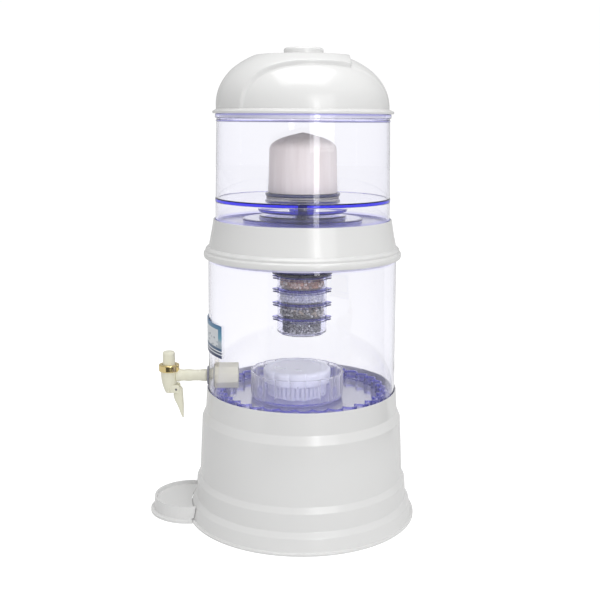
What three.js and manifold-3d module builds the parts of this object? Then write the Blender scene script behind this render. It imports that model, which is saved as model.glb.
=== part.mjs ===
// Countertop gravity water dispenser, in millimetres, +Z up, origin on the table under the middle of its
// footprint. From the bottom: a stepped stand, a lower tank with a push tap and a case of mineral stones, a
// collar that carries a stacked filter cartridge, an upper tank with a ceramic dome filter, and a domed lid.
// The tap and the drip tray reach towards -Y, so the tanks' common axis lies a little to the +Y side.
import * as THREE from "three";
import { mergeVertices } from "three/addons/utils/BufferGeometryUtils.js";
import Module from "manifold-3d";

const wasm = await Module();
wasm.setup();

// Driving dimensions
const AXIS_Y = 25.2;
const GAP = 0.3;
const WALL = 2.5;
const BIG_SIDES = 32;
const SMALL_SIDES = 16;

// Levels of the stack, from the table up
const STAND = { top: 170, ledge: 152, foot: 150, wall: 3, seat: 121.9, drain: 30 };
const LOWER = {
  floor: 157, top: 340.7, bottomR: 121.5, topR: 119.9, ringLow: 104, ringHigh: 108.5, ringTop: 166,
};
const COLLAR = {
  under: 341, bead: 125.8, deck: 387, top: 390, topR: 112.8, seatR: 110.9, hole: 36, lipR: 116.6, lipEnd: 337,
  skin: 3.5,
};
const UPPER = { floor: 416.5, floorThick: 3.5, top: 520, bottomR: 110.3, topR: 107.5, hole: 7.2 };
const LID = {
  spring: 526, crown: 591, rise: 70, bulge: 2.1, rimR: 112.8, domeR: 106.6, lipR: 104.2, lipEnd: 512,
};
const KNOB = { radius: 24.5, top: 600 };

// Drip tray: a round, shallow dish on its own foot, hollow below, that fits round the stand's foot
const TRAY = {
  y: -147.4, radius: 47.5, footR: 53, foot: 3, top: 20.5, dish: 16, rim: 2.4, wall: 3, sides: 64,
};

// Ceramic dome filter and what clamps it through the upper tank's floor
const DOME = { radius: 43.4, crownR: 42.4, shoulder: 474, apex: 497.5, wall: 7, seat: 423.1, plateR: 47.4 };
const STEM = { radius: 6, bore: 3.4, bottom: 387.7, headR: 12, head: 425.5 };
const DISH = { radius: 57, low: 399, high: 404, hub: 16 };
const NUT = { radius: 12, low: 391.5, high: 398.7 };
const COVER = { outerR: 76, innerR: 55, ledge: 392.4, top: 396, hole: 13.6, skin: 2.1 };

// Filter cartridge: a neck through the collar, a carbon cap and four clear cups of media
const NECK = { radius: 34, flangeR: 42, flangeTop: 389.8, bottom: 322.3 };
const CUPS = {
  radius: 32, levels: [317, 299.8, 281.9, 263.2, 241.8], rimR: 33.6, rim: 2, skin: 2, lugR: 39, lug: 7,
};
const CARBON = { capR: 39, capTop: 322, bedTop: 372 };

// Case of mineral stones on the lower tank's floor
const CASE = { y: -6, cupR: 60, cupTop: 192, drumR: 39, drumTop: 181, lidR: 43, lidTop: 196.5, skin: 2 };

// Push tap on the lower tank
const TAP = {
  z: 184, barrelY: -173, barrelR: 11, barrelTop: 189.7, barrelLow: 168, shankR: 7.4, shankEnd: -85, bore: 4,
  spoutY: -176, spoutR: 6.6, spoutLow: 160.7, chamberR: 6.3, seat: 171.5,
};
const PAD = { radius: 18, outer: -120.4, inner: -115.6, hole: 8.2 };
const RING = { radius: 13.3, low: 190, high: 198.8 };
const CAP = { radius: 8, top: 216.3, bore: 5.2 };
const PIVOT = { y: -163.6, z: 166.6, pin: 1.5, hole: 1.9, eyeR: 4.3, width: 10.5, earIn: 5.9, earOut: 8.3 };
const TAIL = {
  topY: -161.6, midY: -161.8, midZ: 151, lowY: -158, lowZ: 138, tipY: -155.6, tipZ: 126.4,
  thick: 12.5, taper: 0.92,
};
const CLAMP = { washerR: 12, washer: 2.8, sealR: 15, seal: 2.6, nutR: 17.4, nutSides: 10 };

// The valve in the tap: a rod with a collar for the spring
const ROD = { radius: 2.2, low: 176.3, high: 208, collarR: 4.6, collarLow: 187, collarHigh: 189 };

// Label: a printed film on the lower tank's wall, beside the tap, as angles from +X in degrees
const LABEL = { radius: 121.6, film: 0.5, low: 223, high: 264, from: -95, to: -55.5 };

// Materials
function finish(color, roughness, extra = {}) {
  return new THREE.MeshStandardMaterial({ color, roughness, metalness: 0, ...extra });
}
const WHITE = finish(0xf2f1ee, 0.25);
const CLEAR = finish(0xdcdcf6, 0.08, { transparent: true, opacity: 0.3 });
const BLUE_CLEAR = finish(0x8f8fe6, 0.1, { transparent: true, opacity: 0.5 });
const FROSTED = finish(0xe6e8f2, 0.5, { transparent: true, opacity: 0.8 });
const IVORY = finish(0xe6e2cd, 0.35);
const GOLD = finish(0xd8ab58, 0.2, { metalness: 1 });
const CERAMIC = finish(0xd9cfcc, 0.45);
const RUBBER = finish(0x6c6f78, 0.7);
const CARBON_BLACK = finish(0x17171d, 0.6);
const RED_CLAY = finish(0xb98a76, 0.8);
const SILICA = finish(0xd9dcec, 0.4);
const ZEOLITE = finish(0x7d7468, 0.8);
const DARK_SAND = finish(0x57524f, 0.85);
const STONE = finish(0xc9c4b8, 0.8);
const STEEL = finish(0xc9ccd0, 0.3, { metalness: 1 });
const PRINT = finish(0x3f8fae, 0.4);

// Geometry tools

// Merges shared corners and drops everything but positions, so that a geometry is one closed surface.
function welded(geometry) {
  const bare = geometry.clone();
  bare.deleteAttribute("normal");
  bare.deleteAttribute("uv");
  return mergeVertices(bare, 1e-4);
}

function toSolid(geometry) {
  const mesh = welded(geometry);
  const vertProperties = new Float32Array(mesh.attributes.position.array);
  const triVerts = new Uint32Array(mesh.index.array);
  return new wasm.Manifold(new wasm.Mesh({ numProp: 3, vertProperties, triVerts }));
}

function toGeometry(solid) {
  const mesh = solid.getMesh();
  const geometry = new THREE.BufferGeometry();
  geometry.setAttribute("position", new THREE.BufferAttribute(new Float32Array(mesh.vertProperties), 3));
  geometry.setIndex(new THREE.BufferAttribute(new Uint32Array(mesh.triVerts), 1));
  geometry.computeVertexNormals();
  return geometry;
}

function signedArea(points) {
  let area = 0;
  points.forEach(([r, z], i) => {
    const [nextR, nextZ] = points[(i + 1) % points.length];
    area += (r * nextZ - nextR * z) / 2;
  });
  return area;
}

// Turns a closed outline of [radius, height] points about the Z axis.
function turned(outline, sides = BIG_SIDES) {
  const points = signedArea(outline) < 0 ? [...outline].reverse() : [...outline];
  if (points.every(([r]) => r > 0)) points.push(points[0]);
  const onAxis = points.findIndex(([r], i) => r === 0 && points[(i + 1) % points.length][0] === 0);
  const ordered = onAxis < 0 ? points : [...points.slice(onAxis + 1), ...points.slice(0, onAxis + 1)];
  const profile = ordered.map(([r, z]) => new THREE.Vector2(r, z));
  return new THREE.LatheGeometry(profile, sides).rotateX(Math.PI / 2);
}

// A round bar or tube along Z: its low end at z = low.
function bar(radius, low, high, sides = SMALL_SIDES) {
  return turned([[0, low], [radius, low], [radius, high], [0, high]], sides);
}

function tube(inner, outer, low, high, sides = SMALL_SIDES) {
  return turned([[inner, low], [outer, low], [outer, high], [inner, high]], sides);
}

// A nut with flat sides and a round hole.
function nut(hole, outer, low, high, sides) {
  return cut(bar(outer, low, high, sides), bar(hole, low - 1, high + 1));
}

// Lays a shape made along Z down, so that its Z runs along +Y, and moves it to the given height.
function alongY(geometry, z) {
  return geometry.rotateX(-Math.PI / 2).translate(0, 0, z);
}

function box(width, depth, height, x, y, z) {
  return new THREE.BoxGeometry(width, depth, height).translate(x, y, z);
}

function join(...geometries) {
  return toGeometry(geometries.map(toSolid).reduce((whole, next) => whole.add(next)));
}

function cut(geometry, ...tools) {
  return toGeometry(tools.map(toSolid).reduce((whole, tool) => whole.subtract(tool), toSolid(geometry)));
}

const model = new THREE.Group();
const stack = new THREE.Group();
stack.position.set(0, AXIS_Y, 0);
model.add(stack);

function place(name, geometry, material, y = 0) {
  const mesh = new THREE.Mesh(geometry, material);
  mesh.name = name;
  mesh.position.set(0, y, 0);
  stack.add(mesh);
}

// Stand: a tapered shell in four steps, open below, with a ledge that the lower tank stands on
function standShell() {
  const outside = [
    [STAND.foot, 0], [STAND.foot, 3], [146.6, 5], [143.6, 20], [139.2, 26], [137.6, 49],
    [134, 55], [129.8, 133], [125.2, 142], [123.4, STAND.top],
  ];
  const seat = [[STAND.seat, STAND.top], [STAND.seat, STAND.ledge], [STAND.drain, STAND.ledge]];
  const shelf = STAND.ledge - STAND.wall;
  const inside = [
    [STAND.drain, shelf], [120.8, shelf], [122.2, 141], [126.8, 132], [131, 54], [134.6, 48], [136.2, 25],
    [140.6, 19], [143.4, 0],
  ];
  return turned([...outside, ...seat, ...inside]);
}

// The tray's back is cut away to follow the stand's foot
function dripTray() {
  const inside = TRAY.radius - TRAY.wall;
  const dish = turned([
    [0, TRAY.dish - TRAY.wall], [inside, TRAY.dish - TRAY.wall], [inside, 0], [TRAY.footR, 0],
    [TRAY.footR, TRAY.foot], [TRAY.radius + 1, TRAY.foot + 1], [TRAY.radius, TRAY.top],
    [TRAY.radius - TRAY.rim, TRAY.top], [TRAY.radius - TRAY.rim - 1, TRAY.dish], [0, TRAY.dish],
  ], TRAY.sides).translate(0, TRAY.y, 0);
  const footEdge = STAND.foot + 0.7;
  const round = turned([
    [0, -1], [footEdge, -1], [footEdge, 4.4], [STAND.foot - 2, 5.4], [STAND.foot - 5.6, TRAY.top + 1],
    [0, TRAY.top + 1],
  ], TRAY.sides);
  return cut(dish, round);
}

// Lower tank: a clear pot with a raised ring moulded in its floor and a flat pad for the tap
function lowerTank() {
  const bottom = STAND.ledge + GAP;
  const pot = turned([
    [0, bottom], [LOWER.bottomR, bottom], [LOWER.topR, LOWER.top], [LOWER.topR - WALL, LOWER.top],
    [LOWER.bottomR - WALL, LOWER.floor], [LOWER.ringHigh + 1.5, LOWER.floor], [LOWER.ringHigh, LOWER.ringTop],
    [LOWER.ringLow, LOWER.ringTop], [LOWER.ringLow - 1.5, LOWER.floor], [0, LOWER.floor],
  ]);
  const pad = alongY(bar(PAD.radius, PAD.outer, PAD.inner), TAP.z);
  const facing = alongY(bar(PAD.radius, PAD.outer - 5, PAD.outer), TAP.z);
  const hole = alongY(bar(PAD.hole, PAD.outer - 5, PAD.inner + 5), TAP.z);
  return cut(join(pot, pad), facing, hole);
}

// A thin printed sheet that follows the tank's wall
function label() {
  const from = THREE.MathUtils.degToRad(LABEL.from);
  const to = THREE.MathUtils.degToRad(LABEL.to);
  const shape = new THREE.Shape();
  shape.absarc(0, 0, LABEL.radius + LABEL.film, from, to, false);
  shape.absarc(0, 0, LABEL.radius, to, from, true);
  return new THREE.ExtrudeGeometry(shape, {
    depth: LABEL.high - LABEL.low, bevelEnabled: false, curveSegments: 12,
  }).translate(0, 0, LABEL.low);
}

// Tap body: a hollow barrel and spout, a threaded shank through the tank's wall and two ears for the lever
function tapBody() {
  const barrel = turned([
    [0, TAP.barrelLow], [TAP.barrelR - 2.5, TAP.barrelLow], [TAP.barrelR, TAP.barrelLow + 5],
    [TAP.barrelR, TAP.barrelTop], [0, TAP.barrelTop],
  ], SMALL_SIDES).translate(0, TAP.barrelY, 0);
  const spout = bar(TAP.spoutR, TAP.spoutLow, TAP.barrelLow + 6, 16).translate(0, TAP.spoutY, 0);
  const shank = alongY(bar(TAP.shankR, TAP.barrelY, TAP.shankEnd, 16), TAP.z);
  const collar = alongY(bar(TAP.shankR + 1.6, -160.5, -157.5, 16), TAP.z);
  const earMiddle = (PIVOT.earIn + PIVOT.earOut) / 2;
  const earThick = PIVOT.earOut - PIVOT.earIn;
  const ears = [-1, 1].map((side) =>
    box(earThick, 9, 15, side * earMiddle, PIVOT.y - 1.5, PIVOT.z + 3.6));
  const chamber = bar(TAP.chamberR, TAP.seat, TAP.barrelTop + 1, 16).translate(0, TAP.barrelY, 0);
  const mouth = bar(TAP.bore + 0.6, TAP.spoutLow - 1, TAP.seat + 1, 16).translate(0, TAP.spoutY, 0);
  const waterway = alongY(bar(TAP.bore, TAP.barrelY, TAP.shankEnd + 1, 16), TAP.z);
  const ringSeat = bar(RING.radius + GAP, TAP.barrelTop, TAP.barrelTop + 4).translate(0, TAP.barrelY, 0);
  const slot = box(2 * PIVOT.earIn, 11, 10, 0, PIVOT.y + 0.6, PIVOT.z - 0.3);
  const pinHole = bar(PIVOT.hole, -12, 12, 16).rotateY(Math.PI / 2).translate(0, PIVOT.y, PIVOT.z);
  return cut(join(barrel, spout, shank, collar, ...ears), chamber, mouth, waterway, ringSeat, slot, pinHole);
}

// Tap lever: an eye on the pin and a tail that curves down behind the spout
function tapLever() {
  const middle = new THREE.QuadraticBezierCurve(
    new THREE.Vector2(TAIL.topY, PIVOT.z - 2), new THREE.Vector2(TAIL.midY, TAIL.midZ),
    new THREE.Vector2(TAIL.lowY, TAIL.lowZ),
  );
  const spine = [...middle.getPoints(5), new THREE.Vector2(TAIL.tipY, TAIL.tipZ)];
  const left = [];
  const right = [];
  spine.forEach((point, i) => {
    const ahead = spine[Math.min(i + 1, spine.length - 1)].clone();
    const along = ahead.sub(spine[Math.max(i - 1, 0)]).normalize();
    const half = TAIL.thick / 2 * (1 - TAIL.taper * i / (spine.length - 1)) + 0.4;
    left.push(new THREE.Vector2(point.x + along.y * half, point.y - along.x * half));
    right.unshift(new THREE.Vector2(point.x - along.y * half, point.y + along.x * half));
  });
  const blade = new THREE.ExtrudeGeometry(new THREE.Shape([...left, ...right]), {
    depth: PIVOT.width, bevelEnabled: false,
  });
  // The outline's first axis is Y and its second is Z, so the extrusion runs along X.
  const turn = new THREE.Matrix4().makeBasis(
    new THREE.Vector3(0, 1, 0), new THREE.Vector3(0, 0, 1), new THREE.Vector3(1, 0, 0));
  blade.applyMatrix4(turn).translate(-PIVOT.width / 2, 0, 0);
  const eye = bar(PIVOT.eyeR, -PIVOT.width / 2, PIVOT.width / 2, 16).rotateY(Math.PI / 2);
  const hole = bar(PIVOT.hole, -9, 9, 16).rotateY(Math.PI / 2).translate(0, PIVOT.y, PIVOT.z);
  return cut(join(blade, eye.translate(0, PIVOT.y, PIVOT.z)), hole);
}

// Plunger: a rod with a collar for the spring; the silicone plug under it closes the seat
function plunger() {
  return turned([
    [0, ROD.low], [ROD.radius, ROD.low], [ROD.radius, ROD.collarLow], [ROD.collarR, ROD.collarLow],
    [ROD.collarR, ROD.collarHigh], [ROD.radius, ROD.collarHigh], [ROD.radius, ROD.high], [0, ROD.high],
  ], 16);
}

function buildStand() {
  place("stand_shell", standShell(), WHITE);
  place("drip_tray", dripTray(), WHITE);
}

function buildLowerTank() {
  place("lower_tank_shell", lowerTank(), CLEAR);
  place("tank_label", label(), PRINT);
}

function buildTap() {
  const sealEnd = PAD.inner + GAP + CLAMP.seal;
  place("tap_body", tapBody(), IVORY);
  const washer = tube(TAP.shankR + GAP, CLAMP.washerR, PAD.outer - CLAMP.washer, PAD.outer - GAP);
  place("tap_washer", alongY(washer, TAP.z), RUBBER);
  place("tap_seal", alongY(tube(TAP.shankR + GAP, CLAMP.sealR, PAD.inner + GAP, sealEnd), TAP.z), RUBBER);
  const clampNut = nut(TAP.shankR + 0.5, CLAMP.nutR, sealEnd + GAP, TAP.shankEnd + 2.5, CLAMP.nutSides);
  place("tap_nut", alongY(clampNut, TAP.z), IVORY);
  place("tap_ring", tube(CAP.radius + GAP + 0.3, RING.radius, RING.low, RING.high), GOLD, TAP.barrelY);
  place("tap_cap", turned([
    [CAP.bore, RING.low], [CAP.radius, RING.low], [CAP.radius, CAP.top - 1.5], [CAP.radius - 1.5, CAP.top],
    [0, CAP.top], [0, CAP.top - 3], [CAP.bore, CAP.top - 3],
  ], SMALL_SIDES), IVORY, TAP.barrelY);
  place("tap_spring", tube(2.8, 4.6, ROD.collarHigh + GAP, CAP.top - 3 - GAP, 12), STEEL, TAP.barrelY);
  place("tap_plunger", plunger(), STEEL, TAP.barrelY);
  place("tap_plug", bar(5.4, TAP.seat + GAP, ROD.low - GAP, 16), RUBBER, TAP.barrelY);
  place("tap_lever", tapLever(), IVORY);
  const pin = bar(PIVOT.pin, -PIVOT.earOut - 0.4, PIVOT.earOut + 0.4, 12).rotateY(Math.PI / 2);
  place("lever_pin", pin.translate(0, PIVOT.y, PIVOT.z), STEEL);
}

// Stone case: a scalloped cup, a drum of stones in it and the drum's lid
function buildStoneCase() {
  const low = LOWER.floor + GAP;
  const cupFloor = low + CASE.skin;
  const drumLow = cupFloor + GAP;
  const drumFloor = drumLow + CASE.skin;
  place("stone_cup", turned([
    [0, low], [CASE.cupR - 3, low], [CASE.cupR, low + 3], [CASE.cupR, CASE.cupTop],
    [CASE.cupR - CASE.skin, CASE.cupTop], [CASE.cupR - CASE.skin, cupFloor + 2], [CASE.cupR - 4, cupFloor],
    [0, cupFloor],
  ]), FROSTED, CASE.y);
  place("stone_drum", turned([
    [0, drumLow], [CASE.drumR, drumLow], [CASE.drumR, CASE.drumTop], [CASE.drumR - CASE.skin, CASE.drumTop],
    [CASE.drumR - CASE.skin, drumFloor], [0, drumFloor],
  ], SMALL_SIDES), FROSTED, CASE.y);
  const bed = CASE.drumR - CASE.skin - 0.6;
  place("mineral_stones", bar(bed, drumFloor + GAP, CASE.drumTop + 6), STONE, CASE.y);
  const skirt = CASE.drumR + 1.2;
  const roof = CASE.lidTop - CASE.skin;
  place("drum_lid", turned([
    [skirt, CASE.drumTop - 4], [CASE.lidR, CASE.drumTop - 4], [CASE.lidR, CASE.lidTop - 3],
    [CASE.lidR - 3, CASE.lidTop], [0, CASE.lidTop], [0, roof - 5], [skirt, roof - 5],
  ], SMALL_SIDES), FROSTED, CASE.y);
}

// Collar: the ring between the tanks, with a deck that the cartridge hangs from
function collarShell() {
  const outside = [
    [124.3, COLLAR.under], [COLLAR.bead, 346], [124, 351], [119.4, 355.5], [115.6, 373.6],
    [COLLAR.topR, COLLAR.top],
  ];
  const deck = [
    [COLLAR.seatR, COLLAR.top], [COLLAR.seatR, COLLAR.deck], [COLLAR.hole, COLLAR.deck],
    [COLLAR.hole, COLLAR.deck - COLLAR.skin],
  ];
  const lip = COLLAR.lipR - WALL;
  const inside = [
    [109, COLLAR.deck - COLLAR.skin], [112.6, 368], [lip, 352], [lip, COLLAR.lipEnd],
    [COLLAR.lipR, COLLAR.lipEnd], [COLLAR.lipR, COLLAR.under],
  ];
  return turned([...outside, ...deck, ...inside]);
}

// One clear cup of the cartridge, with a rim and two lugs at the sides
function stageCup(high, low, chamfer) {
  const inner = CUPS.radius - CUPS.skin;
  const cup = turned([
    [0, low], [CUPS.radius - chamfer, low], [CUPS.radius, low + chamfer], [CUPS.radius, high - CUPS.rim],
    [CUPS.rimR, high - CUPS.rim], [CUPS.rimR, high], [inner, high], [inner, low + CUPS.skin + chamfer],
    [inner - chamfer, low + CUPS.skin], [0, low + CUPS.skin],
  ], SMALL_SIDES);
  const reach = 2 * CUPS.lugR;
  const bars = box(CUPS.lug, reach, 2.4, 0, 0, high - 4.4);
  return join(cup, cut(bars, bar(inner + 1, low - 1, high + 1)));
}

function buildCartridge() {
  place("cartridge_neck", turned([
    [NECK.radius - WALL, NECK.bottom], [NECK.radius, NECK.bottom], [NECK.radius, COLLAR.deck + GAP],
    [NECK.flangeR, COLLAR.deck + GAP], [NECK.flangeR, NECK.flangeTop], [NECK.radius - WALL, NECK.flangeTop],
  ], SMALL_SIDES), BLUE_CLEAR);
  place("carbon_bed", bar(NECK.radius - WALL - 0.5, CARBON.capTop + GAP, CARBON.bedTop), CARBON_BLACK);
  place("carbon_cap", turned([
    [0, CUPS.levels[0] + GAP], [CUPS.rimR, CUPS.levels[0] + GAP], [CARBON.capR, CARBON.capTop - 2],
    [CARBON.capR, CARBON.capTop], [0, CARBON.capTop],
  ], SMALL_SIDES), CARBON_BLACK);
  const fillings = [
    ["clay_ball", RED_CLAY], ["silica_bead", SILICA], ["zeolite_grain", ZEOLITE], ["mineral_sand", DARK_SAND],
  ];
  fillings.forEach(([filling, material], i) => {
    const high = CUPS.levels[i];
    const low = CUPS.levels[i + 1] + (i < fillings.length - 1 ? GAP : 0);
    const chamfer = i === fillings.length - 1 ? 4 : 0.5;
    const stage = i + 1;
    place(`stage_cup_${stage}`, stageCup(high, low, chamfer), BLUE_CLEAR);
    const bedR = CUPS.radius - CUPS.skin - chamfer - GAP;
    place(`${filling}_bed`, bar(bedR, low + CUPS.skin + GAP, high - 2), material);
  });
}

function buildCollar() {
  place("collar_shell", collarShell(), WHITE);
  const inside = COVER.innerR - 1.5;
  const roof = COVER.top - COVER.skin;
  const ledgeUnder = COVER.ledge - COVER.skin;
  place("inlet_cover", turned([
    [COVER.outerR, COLLAR.deck + GAP], [COVER.outerR, COVER.ledge], [COVER.innerR + 0.6, COVER.ledge],
    [COVER.innerR, COVER.top], [COVER.hole, COVER.top], [COVER.hole, roof], [inside, roof],
    [inside, ledgeUnder], [COVER.outerR - 2, ledgeUnder], [COVER.outerR - 2, COLLAR.deck + GAP],
  ]), BLUE_CLEAR);
}

// Upper tank: a clear pot whose wall runs on below its floor as a skirt
function upperTank() {
  const skirt = COLLAR.deck + GAP;
  const under = UPPER.floor - UPPER.floorThick;
  return turned([
    [UPPER.bottomR, skirt], [UPPER.topR, UPPER.top], [UPPER.topR - WALL, UPPER.top],
    [UPPER.bottomR - 3.1, UPPER.floor], [UPPER.hole, UPPER.floor], [UPPER.hole, under],
    [UPPER.bottomR - 3.1, under], [UPPER.bottomR - WALL, skirt],
  ]);
}

// Ceramic dome: a straight shell with a rounded, slightly pointed crown
function ceramicDome() {
  const steps = 8;
  const crown = (radius, apex) => Array.from({ length: steps + 1 }, (_, i) => {
    const t = Math.sin((i / steps) * Math.PI / 2);
    return [radius * Math.max(0, 1 - t ** 2.8), DOME.shoulder + (apex - DOME.shoulder) * t];
  });
  const outside = crown(DOME.crownR, DOME.apex);
  const inside = crown(DOME.crownR - DOME.wall, DOME.apex - DOME.wall);
  return turned([
    [DOME.radius + 0.6, DOME.seat], ...outside, ...inside.reverse(), [DOME.radius - DOME.wall, DOME.seat],
  ], SMALL_SIDES);
}

function buildUpperTank() {
  const gasketTop = UPPER.floor + GAP + 2;
  const plateLow = gasketTop + GAP;
  const plateTop = DOME.seat - GAP;
  place("upper_tank_shell", upperTank(), CLEAR);
  place("dome_gasket", tube(STEM.radius + 1, DOME.plateR - 1.4, UPPER.floor + GAP, gasketTop), RUBBER);
  place("dome_base", tube(STEM.radius + 0.4, DOME.plateR, plateLow, plateTop), RUBBER);
  place("ceramic_dome", ceramicDome(), CERAMIC);
  place("filter_stem", turned([
    [STEM.bore, STEM.bottom], [STEM.radius, STEM.bottom], [STEM.radius, plateTop + GAP],
    [STEM.headR, plateTop + GAP], [STEM.headR, STEM.head], [STEM.bore, STEM.head],
  ], SMALL_SIDES), CARBON_BLACK);
  const hubTop = UPPER.floor - UPPER.floorThick - GAP;
  place("backing_dish", turned([
    [STEM.radius + 0.8, DISH.low], [DISH.radius - 2, DISH.low], [DISH.radius, DISH.low + 2],
    [DISH.radius, DISH.high], [DISH.hub, DISH.high], [DISH.hub, hubTop], [STEM.radius + 0.8, hubTop],
  ], BIG_SIDES), BLUE_CLEAR);
  place("stem_nut", nut(STEM.radius + 0.5, NUT.radius, NUT.low, NUT.high, 6), BLUE_CLEAR);
}

// Lid: a full, rounded dome with a flat crown, a rim on the tank's edge and a lip inside it
function lidShell() {
  const steps = 9;
  const flat = (LID.crown - LID.spring) / LID.rise;
  const dome = (inset) => Array.from({ length: steps + 1 }, (_, i) => {
    const t = flat * Math.sin((i / steps) * Math.PI / 2);
    const r = LID.domeR * (1 - t ** LID.bulge) ** (1 / LID.bulge);
    return [r - inset, LID.spring + LID.rise * t - inset * t];
  });
  const rim = UPPER.top + GAP;
  const outside = [[LID.rimR, rim], [LID.rimR, rim + 3.4], [LID.domeR + 0.2, LID.spring - 1], ...dome(0)];
  const inside = dome(WALL).reverse();
  const lip = [[LID.lipR - 2.2, LID.lipEnd], [LID.lipR, LID.lipEnd], [LID.lipR, rim]];
  return turned([...outside, [0, LID.crown], [0, LID.crown - WALL], ...inside, ...lip]);
}

function buildLid() {
  place("lid_shell", lidShell(), WHITE);
  const low = LID.crown + GAP;
  place("lid_knob", turned([
    [0, low], [KNOB.radius - 0.8, low], [KNOB.radius, low + 1.6], [KNOB.radius, KNOB.top - 2.4],
    [KNOB.radius - 2.2, KNOB.top], [0, KNOB.top],
  ], SMALL_SIDES), WHITE);
}

buildStand();
buildLowerTank();
buildTap();
buildStoneCase();
buildCollar();
buildCartridge();
buildUpperTank();
buildLid();

export default model;
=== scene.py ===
# Countertop gravity water dispenser: looks and fine surfaces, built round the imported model, in metres.
import math

import bpy
import numpy as np
from mathutils import Matrix, Vector


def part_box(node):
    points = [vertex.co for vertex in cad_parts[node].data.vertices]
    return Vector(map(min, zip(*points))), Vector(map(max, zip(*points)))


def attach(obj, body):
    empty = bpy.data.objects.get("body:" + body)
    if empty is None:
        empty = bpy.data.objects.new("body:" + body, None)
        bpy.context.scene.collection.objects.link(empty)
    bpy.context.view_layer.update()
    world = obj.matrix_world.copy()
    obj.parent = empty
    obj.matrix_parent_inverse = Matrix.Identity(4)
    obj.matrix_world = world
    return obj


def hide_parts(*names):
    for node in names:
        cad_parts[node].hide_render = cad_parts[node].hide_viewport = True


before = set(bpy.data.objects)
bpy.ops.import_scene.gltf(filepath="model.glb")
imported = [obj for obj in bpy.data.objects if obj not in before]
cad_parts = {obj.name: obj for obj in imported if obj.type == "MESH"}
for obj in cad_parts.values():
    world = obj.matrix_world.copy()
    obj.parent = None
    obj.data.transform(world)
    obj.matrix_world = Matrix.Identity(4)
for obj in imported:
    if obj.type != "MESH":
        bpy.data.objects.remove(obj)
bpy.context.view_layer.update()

# Studio: a plain white sweep, an even white surround, one tall softbox to the right of the camera that
# draws the bright upright streak on the plastic, a broad one beside it and another overhead. The camera
# stands to the right of the tap, a little above the middle of the tanks, and looks slightly down.
stand_low, stand_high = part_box("stand_shell")
AXIS = Vector(((stand_low.x + stand_high.x) / 2, (stand_low.y + stand_high.y) / 2, 0))

CAMERA_AZIMUTH = math.radians(88.5)
CAMERA_REACH = 1.2062
CAMERA_HEIGHT = 0.5146
CAMERA_ASIDE = -0.0026
CAMERA_PITCH = math.radians(10.82)
CAMERA_ROLL = math.radians(0.35)

outward = Vector((math.sin(CAMERA_AZIMUTH), -math.cos(CAMERA_AZIMUTH), 0))
rightward = Vector((math.cos(CAMERA_AZIMUTH), math.sin(CAMERA_AZIMUTH), 0))
camera = bpy.data.objects.new("camera", bpy.data.cameras.new("camera"))
camera.data.lens = 57.0
camera.data.sensor_width = 36.0
camera.location = AXIS + outward * CAMERA_REACH + rightward * CAMERA_ASIDE + Vector((0, 0, CAMERA_HEIGHT))
looking = -outward * math.cos(CAMERA_PITCH) - Vector((0, 0, math.sin(CAMERA_PITCH)))
camera.rotation_mode = "QUATERNION"
camera.rotation_quaternion = looking.to_track_quat("-Z", "Y") @ Matrix.Rotation(
    CAMERA_ROLL, 3, "Z").to_quaternion()
bpy.context.scene.collection.objects.link(camera)
bpy.context.scene.camera = camera
bpy.context.scene.view_settings.view_transform = "Standard"


def softbox(name, azimuth, reach, height, size, watts):
    """A rectangular lamp on a circle round the dispenser, turned to face the tanks' middle."""
    lamp = bpy.data.objects.new(name, bpy.data.lights.new(name, "AREA"))
    lamp.data.shape = "RECTANGLE"
    lamp.data.size, lamp.data.size_y = size
    lamp.data.energy = watts
    turn = CAMERA_AZIMUTH + math.radians(azimuth)
    place = AXIS + Vector((math.sin(turn) * reach, -math.cos(turn) * reach, height))
    aim = AXIS + Vector((0, 0, 0.32))
    facing = (aim - place).to_track_quat("-Z", "Y").to_matrix().to_4x4()
    lamp.matrix_world = Matrix.Translation(place) @ facing
    bpy.context.scene.collection.objects.link(lamp)
    return lamp


softbox("key_softbox", 17, 1.9, 0.62, (0.24, 1.15), 3.2)
softbox("front_softbox", 24, 2.4, 1.2, (1.5, 1.5), 13)
softbox("top_softbox", 0, 0.2, 2.3, (1.6, 1.6), 22.5)

world = bpy.data.worlds.new("white_surround")
bpy.context.scene.world = world
world.use_nodes = True
sky = world.node_tree
surround = sky.nodes["Background"]
surround.inputs["Color"].default_value = (1, 1, 1, 1)
seen = sky.nodes.new("ShaderNodeLightPath")
either = sky.nodes.new("ShaderNodeMath")
either.operation = "MAXIMUM"
sky.links.new(seen.outputs["Is Camera Ray"], either.inputs[0])
sky.links.new(seen.outputs["Is Transmission Ray"], either.inputs[1])
level = sky.nodes.new("ShaderNodeMapRange")
level.inputs["To Min"].default_value = 0.51
level.inputs["To Max"].default_value = 1.02
sky.links.new(either.outputs[0], level.inputs["Value"])
sky.links.new(level.outputs[0], surround.inputs["Strength"])

floor_mesh = bpy.data.meshes.new("floor")
reach = 9.0
floor_mesh.from_pydata(
    [(-reach, -reach, 0), (reach, -reach, 0), (reach, reach, 0), (-reach, reach, 0)], [], [(0, 1, 2, 3)])
floor = bpy.data.objects.new("floor", floor_mesh)
bpy.context.scene.collection.objects.link(floor)
floor_paint = bpy.data.materials.new("floor_paint")
floor_paint.use_nodes = True
paint = floor_paint.node_tree.nodes["Principled BSDF"]
paint.inputs["Base Color"].default_value = (0.25, 0.25, 0.25, 1)
paint.inputs["Roughness"].default_value = 0.9
paint.inputs["Specular IOR Level"].default_value = 0.0
paint.inputs["Emission Color"].default_value = (1, 1, 1, 1)
glow = floor_paint.node_tree
looked_at = glow.nodes.new("ShaderNodeLightPath")
plain = glow.nodes.new("ShaderNodeMath")
plain.operation = "MULTIPLY_ADD"
plain.inputs[1].default_value, plain.inputs[2].default_value = 0.46, 0.50
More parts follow.
